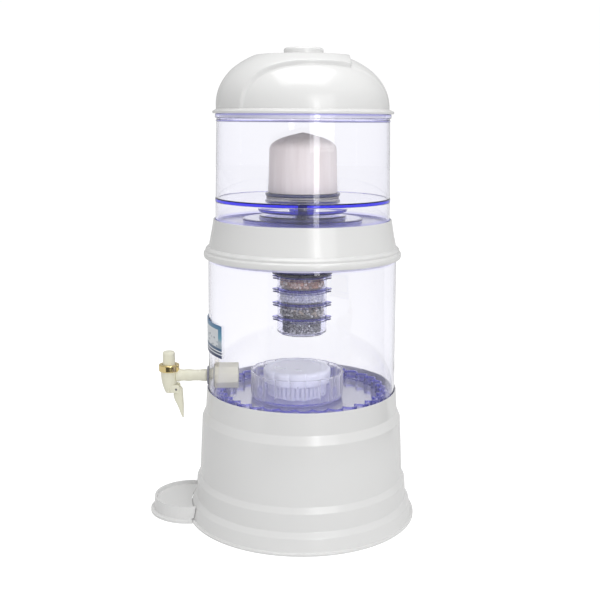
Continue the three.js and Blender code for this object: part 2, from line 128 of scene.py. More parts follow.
shine = glow.nodes.new("ShaderNodeMath")
shine.operation = "MULTIPLY_ADD"
shine.inputs[1].default_value = 0.36
glow.links.new(looked_at.outputs["Is Camera Ray"], plain.inputs[0])
glow.links.new(looked_at.outputs["Is Transmission Ray"], shine.inputs[0])
glow.links.new(plain.outputs[0], shine.inputs[2])
glow.links.new(shine.outputs[0], paint.inputs["Emission Strength"])
floor_mesh.materials.append(floor_paint)

# The dark table beyond the paper sweep, in front of the dispenser: only polished surfaces mirror it.
sweep = np.radians(np.linspace(-40, 115, 32)) + CAMERA_AZIMUTH
edge = np.stack([np.sin(sweep), -np.cos(sweep), 0 * sweep], axis=-1)
dark_mesh = bpy.data.meshes.new("dark_table")
dark_mesh.from_pydata(
    np.vstack([edge * 0.5, edge * 2.6]) + np.array([AXIS.x, AXIS.y, 0.002]), [],
    [(i, i + 1, 33 + i, 32 + i) for i in range(31)])
dark_table = bpy.data.objects.new("dark_table", dark_mesh)
for sort_of_ray in ("camera", "diffuse", "transmission", "shadow"):
    setattr(dark_table, "visible_" + sort_of_ray, False)
bpy.context.scene.collection.objects.link(dark_table)
dark_paint = bpy.data.materials.new("dark_paint")
dark_paint.use_nodes = True
dark_paint.node_tree.nodes["Principled BSDF"].inputs["Base Color"].default_value = (0.02, 0.02, 0.02, 1)
dark_mesh.materials.append(dark_paint)

# Stand: one injection moulding in glossy white plastic, a tapered drum with three outward steps and a thin
# foot. It is open below, and a ledge inside its top rim carries the lower tank.
MM = 0.001


def rounded(points, fillet=1.0, steps=5, longest=None):
    """A closed outline with soft corners: each corner P off the axis becomes the curve
    (1-s)^2 A + 2s(1-s) P + s^2 B between points A and B a fillet's length back on its two sides, with one
    more point further back on each long side, so that flat stretches shade flat. Where a longest step is
    given, every longer side is cut into equal parts."""
    points = [np.array(p[:2], float) for p in points]
    radii = [fillet] * len(points) if np.isscalar(fillet) else list(fillet)
    soft = []
    for i, corner in enumerate(points):
        before, after = points[i - 1], points[(i + 1) % len(points)]
        if corner[0] < 1e-9 or radii[i] <= 0:
            soft.append(corner)
            continue
        back, on = before - corner, after - corner
        back_length, on_length = np.linalg.norm(back), np.linalg.norm(on)
        cutoff = min(radii[i], 0.45 * back_length, 0.45 * on_length)
        start, end = corner + back / back_length * cutoff, corner + on / on_length * cutoff
        hold = 0.6 * cutoff
        if back_length > 4 * cutoff:
            soft.append(start + back / back_length * hold)
        s = np.linspace(0, 1, steps)[:, None]
        soft.extend((1 - s) ** 2 * start + 2 * s * (1 - s) * corner + s ** 2 * end)
        if on_length > 4 * cutoff:
            soft.append(end + on / on_length * hold)
    if longest is None:
        return np.array(soft)
    fine = []
    for start, end in zip(soft, soft[1:] + soft[:1]):
        parts = max(1, math.ceil(np.linalg.norm(end - start) / longest))
        fine.extend(start + (end - start) * part / parts for part in range(parts))
    return np.array(fine[:len(fine) - parts + 1] if soft[0][0] < 1e-9 else fine)


def mesh_object(name, verts, faces, crease=38):
    """A smooth-shaded mesh object at the origin, from vertices in millimetres; edges sharper than the
    crease angle stay sharp."""
    mesh = bpy.data.meshes.new(name)
    mesh.from_pydata(np.asarray(verts, float) * MM, [], faces)
    mesh.update()
    mesh.polygons.foreach_set("use_smooth", np.ones(len(mesh.polygons), bool))
    mesh.set_sharp_from_angle(angle=math.radians(crease))
    made = bpy.data.objects.new(name, mesh)
    bpy.context.scene.collection.objects.link(made)
    return made


def revolve(outline, spins):
    """Vertices and faces of a surface of revolution: outline point (r, z) at angle a lies at
    (r cos a, r sin a, z). The outline either closes on itself or starts and ends on the axis, where each
    end is one pole. Faces point outwards whichever way the outline runs."""
    outline = np.asarray(outline, float)
    following = np.roll(outline, -1, axis=0)
    area = np.sum(outline[:, 0] * following[:, 1] - following[:, 0] * outline[:, 1]) / 2
    if area < 0:
        outline = outline[::-1]
    on_axis = np.flatnonzero(outline[:, 0] < 1e-9)
    if len(on_axis):
        gap = next(i for i in on_axis if (i + 1) % len(outline) in on_axis)
        outline = np.roll(outline, -(gap + 1), axis=0)
    poles = len(on_axis) > 0
    rings = outline[1:-1] if poles else outline
    turn = np.arange(spins) * 2 * np.pi / spins
    r, z = rings[:, :1], rings[:, 1:]
    grid = np.stack([r * np.cos(turn), r * np.sin(turn), z + 0 * turn], axis=-1)
    count = len(rings)
    row = np.arange(count - 1 if poles else count)[:, None]
    a, b = np.arange(spins), (np.arange(spins) + 1) % spins
    above = (row + 1) % count
    quads = np.stack([row * spins + a, row * spins + b, above * spins + b, above * spins + a], axis=-1)
    verts, faces = grid.reshape(-1, 3), quads.reshape(-1, 4).tolist()
    if poles:
        low, high = len(verts), len(verts) + 1
        verts = np.vstack([verts, [0, 0, outline[0, 1]], [0, 0, outline[-1, 1]]])
        last = (count - 1) * spins
        faces += np.stack([np.full(spins, low), b, a], axis=-1).tolist()
        faces += np.stack([np.full(spins, high), last + a, last + b], axis=-1).tolist()
    return verts, faces


def turned(name, outline, body, node, material, spins=160, centre=(0, 0), wave=None, crease=38):
    """A piece turned about an upright axis at centre, which is given from the tanks' axis. A wave takes
    the vertices and returns them moved."""
    verts, faces = revolve(outline, spins)
    if wave is not None:
        verts = wave(verts)
    return built(name, [(verts, faces)], body, node, material, centre, crease)


def lying(outline, spins, height):
    """A turned shape laid along Y at a height: outline point (r, s) turns about the line z = height, at
    y = s, by (x, y, z) -> (x, z, height - y)."""
    verts, faces = revolve(outline, spins)
    return np.stack([verts[:, 0], verts[:, 2], height - verts[:, 1]], axis=-1), faces


def swept(path, wide, thick, soft=0.7, sides=28):
    """A bar along a path of points in the plane of Y and Z. At each point its section is the curve
    (w/2 |c|^k, t/2 |s|^k), with the signs of c and s, the cosine and sine of the way round, and k the
    softness, across X and across the path. Both ends close on a point."""
    path = np.asarray(path, float)
    along = np.gradient(path, axis=0)
    along /= np.linalg.norm(along, axis=1, keepdims=True)
    out = np.stack([0 * along[:, 0], along[:, 2], -along[:, 1]], axis=-1)
    turn = np.arange(sides) * 2 * np.pi / sides
    c, s = np.cos(turn), np.sin(turn)
    c, s = np.sign(c) * np.abs(c) ** soft, np.sign(s) * np.abs(s) ** soft
    side = np.array([1.0, 0, 0])
    grid = (path[:, None] + np.asarray(wide)[:, None, None] / 2 * c[None, :, None] * side
            + np.asarray(thick)[:, None, None] / 2 * s[None, :, None] * out[:, None])
    count = len(path)
    row, a = np.arange(count - 1)[:, None], np.arange(sides)
    b = (a + 1) % sides
    near, far = row * sides, (row + 1) * sides
    quads = np.stack([near + a, near + b, far + b, far + a], axis=-1)
    verts = np.vstack([grid.reshape(-1, 3), path[0], path[-1]])
    faces = quads.reshape(-1, 4).tolist()
    first, last, end = count * sides, count * sides + 1, (count - 1) * sides
    faces += np.stack([np.full(sides, first), b, a], axis=-1).tolist()
    faces += np.stack([np.full(sides, last), end + a, end + b], axis=-1).tolist()
    return verts, faces


def built(name, shapes, body, node, material, centre=(0, 0), crease=38):
    """One piece from one or more closed shapes, each vertices and faces, given from the tanks' axis."""
    starts = np.cumsum([0] + [len(verts) for verts, _ in shapes])
    verts = np.vstack([verts for verts, _ in shapes])
    faces = [[corner + start for corner in face]
             for (_, some), start in zip(shapes, starts) for face in some]
    verts = verts + np.array([centre[0] + AXIS.x / MM, centre[1] + AXIS.y / MM, 0])
    return dress(mesh_object(name, verts, faces, crease), body, node, material)


def from_axis(piece):
    """A piece's vertices in millimetres from the tanks' axis: radius, angle, height, x and y."""
    flat = np.empty(len(piece.data.vertices) * 3, np.float32)
    piece.data.vertices.foreach_get("co", flat)
    x, y, z = (flat.reshape(-1, 3).astype(float) / MM).T
    x, y = x - AXIS.x / MM, y - AXIS.y / MM
    return np.hypot(x, y), np.arctan2(y, x), z, x, y


def mark(piece, name, values):
    """Stores one number for each vertex as a named attribute that a material can read."""
    layer = piece.data.attributes.new(name, "FLOAT", "POINT")
    layer.data.foreach_set("value", np.clip(values, 0, 1).astype(np.float32))


def band(values, low, high, soft=0.4):
    """1 where a value lies between low and high, fading to 0 over a soft distance outside them."""
    return np.clip((values - low) / soft + 1, 0, 1) * np.clip((high - values) / soft + 1, 0, 1)


def keep(node, material, bevel=0.0):
    """Shows a node of the model as it is, in a material, with its edges eased by a bevel in millimetres."""
    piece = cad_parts[node]
    piece.data.materials.clear()
    piece.data.materials.append(material)
    if bevel:
        ease = piece.modifiers.new("eased_edges", "BEVEL")
        ease.width = bevel * MM
        ease.segments = 2
        ease.limit_method = "ANGLE"
        ease.angle_limit = math.radians(35)
        ease.harden_normals = True


def dress(piece, body, node, material):
    """Gives a finished piece its material, its body and the frame node that it stands for."""
    piece.data.materials.clear()
    piece.data.materials.append(material)
    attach(piece, body)
    if node:
        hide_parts(*([node] if isinstance(node, str) else node))
    return piece


def feed(links, socket, value):
    """Sets a socket to a plain value, or links an output to it."""
    if isinstance(value, bpy.types.NodeSocket):
        links.new(value, socket)
    else:
        socket.default_value = value


def fresh_material(name):
    """A new node material: the material, its nodes, its links and its main shader."""
    material = bpy.data.materials.new(name)
    material.use_nodes = True
    tree = material.node_tree
    return material, tree.nodes, tree.links, tree.nodes["Principled BSDF"]


def noise(nodes, links, scale, detail, vector):
    """Noise of a scale and a detail over a vector."""
    texture = nodes.new("ShaderNodeTexNoise")
    feed(links, texture.inputs["Scale"], scale)
    feed(links, texture.inputs["Detail"], detail)
    links.new(vector, texture.inputs["Vector"])
    return texture.outputs[0]


def ranged(nodes, links, value, low, high):
    """A value from 0 to 1, laid out from low to high."""
    spread = nodes.new("ShaderNodeMapRange")
    feed(links, spread.inputs["To Min"], low)
    feed(links, spread.inputs["To Max"], high)
    links.new(value, spread.inputs["Value"])
    return spread.outputs[0]


def mixed(nodes, links, factor, low, high, blend="MIX"):
    """Two colours mixed by a factor."""
    mix = nodes.new("ShaderNodeMix")
    mix.data_type = "RGBA"
    mix.blend_type = blend
    feed(links, mix.inputs["Factor"], factor)
    feed(links, mix.inputs[6], low)
    feed(links, mix.inputs[7], high)
    return mix.outputs[2]


def ramped(nodes, links, value, stops, kind="LINEAR"):
    """A colour ramp over a value, with stops of place and colour."""
    ramp = nodes.new("ShaderNodeValToRGB")
    ramp.color_ramp.interpolation = kind
    while len(ramp.color_ramp.elements) < len(stops):
        ramp.color_ramp.elements.new(0.5)
    for element, (place, colour) in zip(ramp.color_ramp.elements, stops):
        element.position = place
        element.color = (*colour, 1)
    links.new(value, ramp.inputs["Fac"])
    return ramp.outputs["Color"]


def stretched(nodes, links, scale):
    """The object's own coordinates, scaled on each axis."""
    where = nodes.new("ShaderNodeTexCoord")
    stretch = nodes.new("ShaderNodeMapping")
    stretch.inputs["Scale"].default_value = scale
    links.new(where.outputs["Object"], stretch.inputs["Vector"])
    return stretch.outputs["Vector"]


def raised(nodes, links, height, strength, distance, shader):
    """A low bump from a height, fed to a shader."""
    lift = nodes.new("ShaderNodeBump")
    lift.inputs["Strength"].default_value = strength
    lift.inputs["Distance"].default_value = distance
    links.new(height, lift.inputs["Height"])
    links.new(lift.outputs["Normal"], shader.inputs["Normal"])


def group_socket(group, name, kind, into, value=None):
    """One named socket of a shader group, with a default value."""
    socket = group.interface.new_socket(name, in_out="INPUT" if into else "OUTPUT", socket_type=kind)
    if value is not None:
        socket.default_value = value
    return socket


def moulded_skin():
    """Shader group for moulded plastic: cloudy shade changes, fine orange peel and a faint
    handling haze that changes the gloss."""
    group = bpy.data.node_groups.new("moulded_skin", "ShaderNodeTree")
    group_socket(group, "Colour", "NodeSocketColor", True, (0.9, 0.9, 0.9, 1))
    group_socket(group, "Shade", "NodeSocketColor", True, (0.85, 0.85, 0.85, 1))
    group_socket(group, "Gloss Low", "NodeSocketFloat", True, 0.2)
    group_socket(group, "Gloss High", "NodeSocketFloat", True, 0.3)
    group_socket(group, "Peel Size", "NodeSocketFloat", True, 260.0)
    group_socket(group, "Colour", "NodeSocketColor", False)
    group_socket(group, "Roughness", "NodeSocketFloat", False)
    group_socket(group, "Height", "NodeSocketFloat", False)
    nodes, links = group.nodes, group.links
    into, out = nodes.new("NodeGroupInput"), nodes.new("NodeGroupOutput")
    where = nodes.new("ShaderNodeTexCoord").outputs["Object"]
    clouds = noise(nodes, links, 9.0, 3.0, where)
    haze = noise(nodes, links, 34.0, 5.0, where)
    peel = noise(nodes, links, into.outputs["Peel Size"], 2.0, where)
    low, high = into.outputs["Gloss Low"], into.outputs["Gloss High"]
    links.new(mixed(nodes, links, clouds, into.outputs[0], into.outputs[1]), out.inputs[0])
    links.new(ranged(nodes, links, haze, low, high), out.inputs[1])
    links.new(peel, out.inputs[2])
    return group


MOULDED_SKIN = moulded_skin()


def plastic(name, colour, shade, gloss=(0.18, 0.28), peel=260.0, bump=0.02, coat=0.0):
    """Opaque moulded plastic: the skin group drives colour, roughness and a very low bump."""
    material, nodes, links, shader = fresh_material(name)
    skin = nodes.new("ShaderNodeGroup")
    skin.node_tree = MOULDED_SKIN
    skin.inputs["Colour"].default_value = (*colour, 1)
    skin.inputs["Shade"].default_value = (*shade, 1)
    skin.inputs["Gloss Low"].default_value, skin.inputs["Gloss High"].default_value = gloss
    skin.inputs["Peel Size"].default_value = peel
    shader.inputs["IOR"].default_value = 1.5
    shader.inputs["Coat Weight"].default_value = coat
    shader.inputs["Coat Roughness"].default_value = 0.06
    links.new(skin.outputs["Colour"], shader.inputs["Base Color"])
    links.new(skin.outputs["Roughness"], shader.inputs["Roughness"])
    raised(nodes, links, skin.outputs["Height"], bump, 0.001, shader)
    return material


white_plastic = plastic("white_plastic", (0.80, 0.80, 0.795), (0.775, 0.775, 0.77), coat=0.3)

stand_top = stand_high.z / MM
tank_low, tank_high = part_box("lower_tank_shell")
ledge = tank_low.z / MM - 0.3
deck = ledge - 3
stand_outline = [
    (149.2, 0), (150, 0.8), (150, 3), (147.2, 3.6), (143.8, 19.6), (139.0, 26.4), (137.7, 48.6),
    (133.6, 55.8),
    (129.9, 131.6), (125.2, 142.6), (123.4, stand_top), (121.9, stand_top), (121.9, ledge), (30, ledge),
    (30, deck), (120.6, deck), (122.2, 141), (126.8, 132), (131, 54), (134.6, 48), (136.2, 25),
    (140.6, 19), (143.4, 0),
]
stand_fillets = [0.4, 0.6, 0.5, 0.6, 0.7, 0.6, 0.7, 0.6, 0.7, 0.6, 0.5, 0.5] + [1] * 11
turned("stand", rounded(stand_outline, stand_fillets), "stand", "stand_shell",
       white_plastic, spins=240)

# Tray: a shallow white dish on a thin flange, moulded in one piece and hollow below. Its back follows the
# round foot of the stand, and it pulls away forwards.
keep("drip_tray", white_plastic, 0.7)

# Clear tanks: two pots injection moulded in clear plastic with a faint violet-blue cast, which deepens
# wherever the eye looks along a wall, a rim or a floor.


def clear_plastic(name, cast, density, edge_colour, haze=(0.0, 0.02), ripple=0.004, base=(1, 1, 1),
                  painted_edge_glow=(0.015, 0.015, 0.10), milk=None, painted_inner_glow=(0, 0, 0)):
    """Clear plastic: full transmission and a plain absorption inside it. Where the attribute edge says,
    the base colour turns to the edge colour, the plastic's own cast deepened where the eye looks through
    more of it, and the emission paints on a faint blue glow, painted light that stands in for light carried
    along the plastic. Where milk is given, the plastic turns milky as the eye looks along its wall, from the
    first part of it to the second. Elsewhere the emission paints a faint even glow, painted light that
    stands in for light spread inside a milky wall."""
    material, nodes, links, shader = fresh_material(name)
    shader.inputs["Transmission Weight"].default_value = 1.0
    shader.inputs["IOR"].default_value = 1.49
    # The emission paints a faint glow on the plastic: painted light, blue along the edges.
    shader.inputs["Emission Strength"].default_value = 1.0
    skin = nodes.new("ShaderNodeGroup")
    skin.node_tree = MOULDED_SKIN
    skin.inputs["Gloss Low"].default_value, skin.inputs["Gloss High"].default_value = haze
    skin.inputs["Peel Size"].default_value = 40.0
    edge = nodes.new("ShaderNodeAttribute")
    edge.attribute_name = "edge"
    edge = edge.outputs["Fac"]
    # Painted glow: the emission colour, blue where the attribute edge says and faint and even elsewhere.
    links.new(mixed(nodes, links, edge, (*painted_inner_glow, 1), (*painted_edge_glow, 1)), shader.inputs["Emission Color"])
    links.new(mixed(nodes, links, edge, (*base, 1), (*edge_colour, 1)), shader.inputs["Base Color"])
    links.new(skin.outputs["Roughness"], shader.inputs["Roughness"])
    raised(nodes, links, skin.outputs["Height"], ripple, 0.001, shader)
    surface = shader.outputs["BSDF"]
    if milk is not None:
        facing = nodes.new("ShaderNodeLayerWeight")
        facing.inputs["Blend"].default_value = 0.36
        cloud = nodes.new("ShaderNodeBsdfTranslucent")
        cloud.inputs["Color"].default_value = (0.95, 0.94, 1.0, 1)
        front = nodes.new("ShaderNodeBsdfDiffuse")
        front.inputs["Color"].default_value = (0.92, 0.91, 0.98, 1)
        halves, whole = nodes.new("ShaderNodeMixShader"), nodes.new("ShaderNodeMixShader")
        links.new(cloud.outputs[0], halves.inputs[1])
        links.new(front.outputs[0], halves.inputs[2])
        links.new(ranged(nodes, links, facing.outputs["Facing"], *milk), whole.inputs["Fac"])
        links.new(surface, whole.inputs[1])
        links.new(halves.outputs[0], whole.inputs[2])
        surface = whole.outputs[0]
    through = nodes.new("ShaderNodeLightPath")
    clear = nodes.new("ShaderNodeBsdfTransparent")
    clear.inputs["Color"].default_value = (0.975, 0.975, 0.985, 1)
    blend = nodes.new("ShaderNodeMixShader")
    inside = nodes.new("ShaderNodeVolumeAbsorption")
    inside.inputs["Color"].default_value = (*cast, 1)
    inside.inputs["Density"].default_value = density
    links.new(through.outputs["Is Shadow Ray"], blend.inputs["Fac"])
    links.new(surface, blend.inputs[1])
    links.new(clear.outputs["BSDF"], blend.inputs[2])
    links.new(blend.outputs["Shader"], nodes["Material Output"].inputs["Surface"])
    links.new(inside.outputs["Volume"], nodes["Material Output"].inputs["Volume"])
    return material


# Its edges carry the default painted blue glow of the emission, which stands in for light carried along the
# plastic.
tank_plastic = clear_plastic("tank_plastic", (0.30, 0.28, 0.95), 15.0, (0.30, 0.27, 0.86))
tank_top = tank_high.z / MM
tank_foot = tank_low.z / MM
FLOOR_LEVEL = 157.0
RING_TOP = 169.0
RING_LOBES = 32

# Lower tank: its floor carries a ring of deep round lobes that the stone case stands inside, and a round
# flat on the wall, bored through, takes the tap's shank.


def scallops(verts):
    """The floor ring's walls swing in and out by 5 mm, as the root of a cosine, once for each lobe. Round
    the tap the wall is drawn out to a flat: y becomes the flat's depth."""
    x, y, z = verts.T
    r, turn = np.hypot(x, y), np.arctan2(y, x)
    ring = band(z, FLOOR_LEVEL + 0.3, RING_TOP + 1, 0.3) * band(r, 101, 112, 0.5)
    wave = 11.0 * np.abs(np.cos(turn * RING_LOBES / 2)) ** 0.6 - 7.5
    scale = 1 + ring * wave / np.maximum(r, 1)
    flat = np.clip(1.6 - np.hypot(x, z - 184) / 18, 0, 1) * (y < 0) * (r > 118)
    flat = flat * flat * (3 - 2 * flat)
    wall = np.where(r > 120, -120.4, -117.2)
    y = np.where(flat > 0, y * scale * (1 - flat) + wall * flat, y * scale)
    return np.stack([x * scale, y, z], axis=-1)


def bored(piece, middle, radius, length):
    """Cuts a round hole along Y through a piece and leaves the cut shape as its own mesh."""
    end = length / 2
    verts, faces = lying([(0, -end), (radius, -end), (radius, end), (0, end)], 48, 0)
    drill = mesh_object("drill", verts + np.array(middle) + np.array([AXIS.x / MM, AXIS.y / MM, 0]), faces)
    cut = piece.modifiers.new("bore", "BOOLEAN")
    cut.operation = "DIFFERENCE"
    cut.solver = "EXACT"
    cut.object = drill
    bpy.context.view_layer.update()
    result = bpy.data.meshes.new_from_object(piece.evaluated_get(bpy.context.evaluated_depsgraph_get()))
    piece.modifiers.clear()
    piece.data = result
    bpy.data.objects.remove(drill)
    return piece


lower_outline = [
    (0, tank_foot), (120.5, tank_foot), (121.5, tank_foot + 1), (121.4, 160), (121.2, 172), (121.1, 184),
    (121, 196), (120.8, 208), (119.9, tank_top), (117.4, tank_top), (118.3, 208), (118.4, 196), (118.5, 184),
    (118.7, 172), (118.9, 160), (119, FLOOR_LEVEL), (108.6, FLOOR_LEVEL), (107.9, RING_TOP),
    (104.9, RING_TOP),
    (104.2, FLOOR_LEVEL), (0, FLOOR_LEVEL),
]
lower_fillets = [0, 1, 1, 0, 0, 0, 0, 0, 0.8, 0.8, 0, 0, 0, 0, 0, 1.6, 0.8, 0.8, 0.8, 0.8, 0]
lower_verts, lower_faces = revolve(rounded(lower_outline, lower_fillets, longest=4.0), 432)
lower_tank = mesh_object(
    "lower_tank", scallops(lower_verts) + np.array([AXIS.x / MM, AXIS.y / MM, 0]), lower_faces)
bored(lower_tank, (0, -119, 184), 8.2, 12)
dress(lower_tank, "lower_tank", "lower_tank_shell", tank_plastic)
r, turn, z, x, y = from_axis(lower_tank)
# Edge mark: a deeper blue-violet cast along the top rim, the floor ring and the foot, where the eye looks
# through more plastic, and with it the painted blue glow of the emission there.
mark(lower_tank, "edge", np.maximum.reduce([
    band(z, tank_top - 1.2, tank_top + 1) * 0.2,
    band(z, RING_TOP - 3.6, RING_TOP + 1, 0.6) * band(r, 94, 113) * 0.8,
    band(z, tank_foot - 1, FLOOR_LEVEL + 0.2) * band(r, 114, 125) * 0.5,
    band(z, FLOOR_LEVEL - 0.5, FLOOR_LEVEL + 9) * band(r, 94, 113) * 0.15]))

# Label: a thin printed film stuck on the lower tank beside the tap, with colour bands, a white panel and
# soft shapes, and no words.


def printed_film():
    """Material of the label. u runs round the tank and v up it: a blue to teal ground, a pale panel, grey
    shapes in it, and navy and white bars along the bottom."""
    material, nodes, links, shader = fresh_material("printed_film")
    shader.inputs["Roughness"].default_value = 0.28
    where = nodes.new("ShaderNodeUVMap")
    where.uv_map = "film"
    axes = nodes.new("ShaderNodeSeparateXYZ")
    links.new(where.outputs["UV"], axes.inputs["Vector"])
    u, v = axes.outputs["X"], axes.outputs["Y"]
    black, white, navy, pale = (0, 0, 0), (1, 1, 1), (0.01, 0.03, 0.12), (0.75, 0.79, 0.84)
    bars = ramped(nodes, links, v, [
        (0.0, navy), (0.09, pale), (0.13, navy), (0.18, pale), (0.22, (0.03, 0.10, 0.22))], "CONSTANT")
    sheen = ramped(nodes, links, v, [
        (0.26, (0.30, 0.38, 0.46)), (0.48, (0.46, 0.54, 0.60)), (0.62, (0.12, 0.36, 0.50)),
        (1.0, (0.04, 0.17, 0.36))])
    upper = ramped(nodes, links, v, [(0.0, black), (0.30, white)], "CONSTANT")
    blobs = nodes.new("ShaderNodeTexVoronoi")
    blobs.inputs["Scale"].default_value = 9.0
    links.new(where.outputs["UV"], blobs.inputs["Vector"])
    shapes = ramped(nodes, links, blobs.outputs["Distance"], [
        (0.0, (0.25, 0.30, 0.36)), (0.24, (0.5, 0.55, 0.60)), (0.36, (0.74, 0.78, 0.82))], "CONSTANT")
    in_v = ramped(nodes, links, v, [(0.0, black), (0.32, white), (0.86, black)], "CONSTANT")
    in_u = ramped(nodes, links, u, [(0.0, black), (0.10, white), (0.90, black)], "CONSTANT")
    panel = nodes.new("ShaderNodeMath")
    panel.operation = "MULTIPLY"
    links.new(in_v, panel.inputs[0])
    links.new(in_u, panel.inputs[1])
    ground = mixed(nodes, links, upper, bars, sheen)
    links.new(mixed(nodes, links, panel.outputs[0], ground, shapes), shader.inputs["Base Color"])
    return material


label_low, label_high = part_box("tank_label")
across_film, up_film = 49, 17
LABEL_FROM, LABEL_TO = -95, -55.5
angle = np.radians(np.linspace(LABEL_FROM, LABEL_TO, across_film))
height = np.linspace(label_low.z / MM, label_high.z / MM, up_film)
thickness = np.array([122.1, 121.6])
film = np.stack([
    thickness[:, None, None] * np.cos(angle)[None, None] + 0 * height[None, :, None],
    thickness[:, None, None] * np.sin(angle)[None, None] + 0 * height[None, :, None],
    0 * thickness[:, None, None] + height[None, :, None] + 0 * angle[None, None]], axis=-1)
number = np.arange(2 * up_film * across_film).reshape(2, up_film, across_film)


def sheet_quads(grid):
    """Quads over a grid of vertex numbers, facing the way its rows turn into its columns."""
    quads = np.stack([grid[:-1, :-1], grid[:-1, 1:], grid[1:, 1:], grid[1:, :-1]], axis=-1)
    return quads.reshape(-1, 4).tolist()


film_faces = sheet_quads(number[0]) + sheet_quads(number[1, :, ::-1])
film_faces += sheet_quads(number[::-1, 0, :]) + sheet_quads(number[:, -1, :])
film_faces += sheet_quads(number[:, :, 0].T[::-1].T) + sheet_quads(number[::-1, :, -1].T[::-1].T)
label = built("label", [(film.reshape(-1, 3), film_faces)], "lower_tank", "tank_label",
              printed_film())
r, turn, z, x, y = from_axis(label)
film_uv = np.stack([(np.degrees(turn) - LABEL_FROM) / (LABEL_TO - LABEL_FROM),
                    (z - label_low.z / MM) / (label_high.z - label_low.z) * MM], axis=-1)
corners = np.empty(len(label.data.loops), np.int32)
label.data.loops.foreach_get("vertex_index", corners)
label.data.uv_layers.new(name="film").uv.foreach_set("vector", film_uv[corners].astype(np.float32).ravel())

# Tap: an ivory moulding. The upright barrel runs down into the spout, and the shank runs back through the
# tank's wall, where a washer, a seal and a nut clamp it. Two ears at the barrel's foot hold the lever's pin.
ivory = plastic("ivory_plastic", (0.90, 0.88, 0.73), (0.86, 0.84, 0.67), (0.2, 0.3), 500.0, 0.03, 0.2)
BARREL = -173.0
SHANK_LEVEL = 184.0
barrel_outline = [
    (3.6, 172), (3.6, 160.7), (4.9, 160.7), (6.2, 163.5), (8.2, 169.2), (9.9, 176), (10.7, 183), (11, 189.7),
    (3.6, 189.7),
]
barrel_verts, barrel_faces = revolve(rounded(barrel_outline, [0.5, 0.5, 0.8, 2, 3, 3, 2, 0.8, 0.5]), 64)
barrel_verts[:, 1] += BARREL
shank_outline = [
    (4, -164), (8.3, -164), (8.6, -160), (7.5, -157), (7.3, -153), (7.9, -149), (7.9, -146), (7.2, -142),
    (7.2, -132), (7.9, -128.5), (7.9, -124.6), (7.4, -123.8), (7.4, -85), (4, -85),
]
shank = lying(rounded(shank_outline, [0.5, 1, 2, 2, 2, 2, 2, 2, 2, 1, 0.5, 0.4, 0.8, 0.5]), 56, SHANK_LEVEL)
ear_path = np.stack([np.zeros(14), np.linspace(-172, -158.9, 14), 167.4 - 0.05 * np.arange(14)], axis=-1)
ear_depth = np.sqrt(1 - np.linspace(-1, 1, 14) ** 6)
ears = []
for side in (-7.1, 7.1):
    verts, faces = swept(ear_path, 2.5 * ear_depth, 11 * ear_depth, 0.6)
    ears.append((verts + np.array([side, 0, 0]), faces))
built("tap_barrel", [(barrel_verts, barrel_faces), shank, *ears], "lower_tank",
      "tap_body", ivory)

# Rubber washer outside the wall and flat seal inside it, both punched, with eased edges; the ten-sided
# nut is ivory plastic.
rubber = plastic("grey_rubber", (0.34, 0.34, 0.38), (0.28, 0.28, 0.31), (0.5, 0.65), 900.0, 0.08)
washer = lying(rounded([(7.9, -123.1), (12, -123.1), (12, -120.8), (7.9, -120.8)], 0.7), 72, SHANK_LEVEL)
built("washer", [washer], "lower_tank", "tap_washer", rubber)
seal = lying(rounded([(7.9, -115.3), (15, -115.3), (15, -112.7), (7.9, -112.7)], 0.7), 72, SHANK_LEVEL)
built("seal", [seal], "lower_tank", "tap_seal", rubber)
keep("tap_nut", ivory, 1.0)
keep("tap_plug", rubber, 0.4)

# Bonnet: the ring is thin metal with a polished gold plating that is faintly brushed round, and the ivory
# cap over it has a softened top.


def plated(name, colour, low, high, brush):
    """Metal with a brushed finish: fine streaks that run round the piece change its roughness."""
    material, nodes, links, shader = fresh_material(name)
    shader.inputs["Metallic"].default_value = 1.0
    streaks = noise(nodes, links, 1.0, 4.0, stretched(nodes, links, (60, 60, brush)))
    worn = [0.86 * part for part in colour]
    links.new(mixed(nodes, links, streaks, (*colour, 1), (*worn, 1)), shader.inputs["Base Color"])
    links.new(ranged(nodes, links, streaks, low, high), shader.inputs["Roughness"])
    return material


gold = plated("gold_ring", (0.92, 0.74, 0.36), 0.05, 0.12, 9000)
steel = plated("steel", (0.62, 0.62, 0.64), 0.15, 0.3, 4000)
turned("bonnet_ring", rounded([(8.6, 190), (13.3, 190), (13.3, 198.8), (8.6, 198.8)], [0.3, 1.1, 1.1, 0.3]),
       "lower_tank", "tap_ring", gold, 96, (0, BARREL))
cap_outline = [
    (5.2, 190), (8, 190), (8, 199), (7.9, 210), (8, 212.5), (7.3, 215.6), (4, 216.3), (0, 216.3), (0, 213.3),
    (5.2, 213.3),
]
turned("bonnet_cap", rounded(cap_outline, [0.4, 0.4, 0.5, 1, 1, 1.2, 1, 0, 0, 0.4]), "lower_tank",
       "tap_cap", ivory, 64, (0, BARREL))
for hidden in ("tap_spring", "tap_plunger", "lever_pin"):
    keep(hidden, steel)

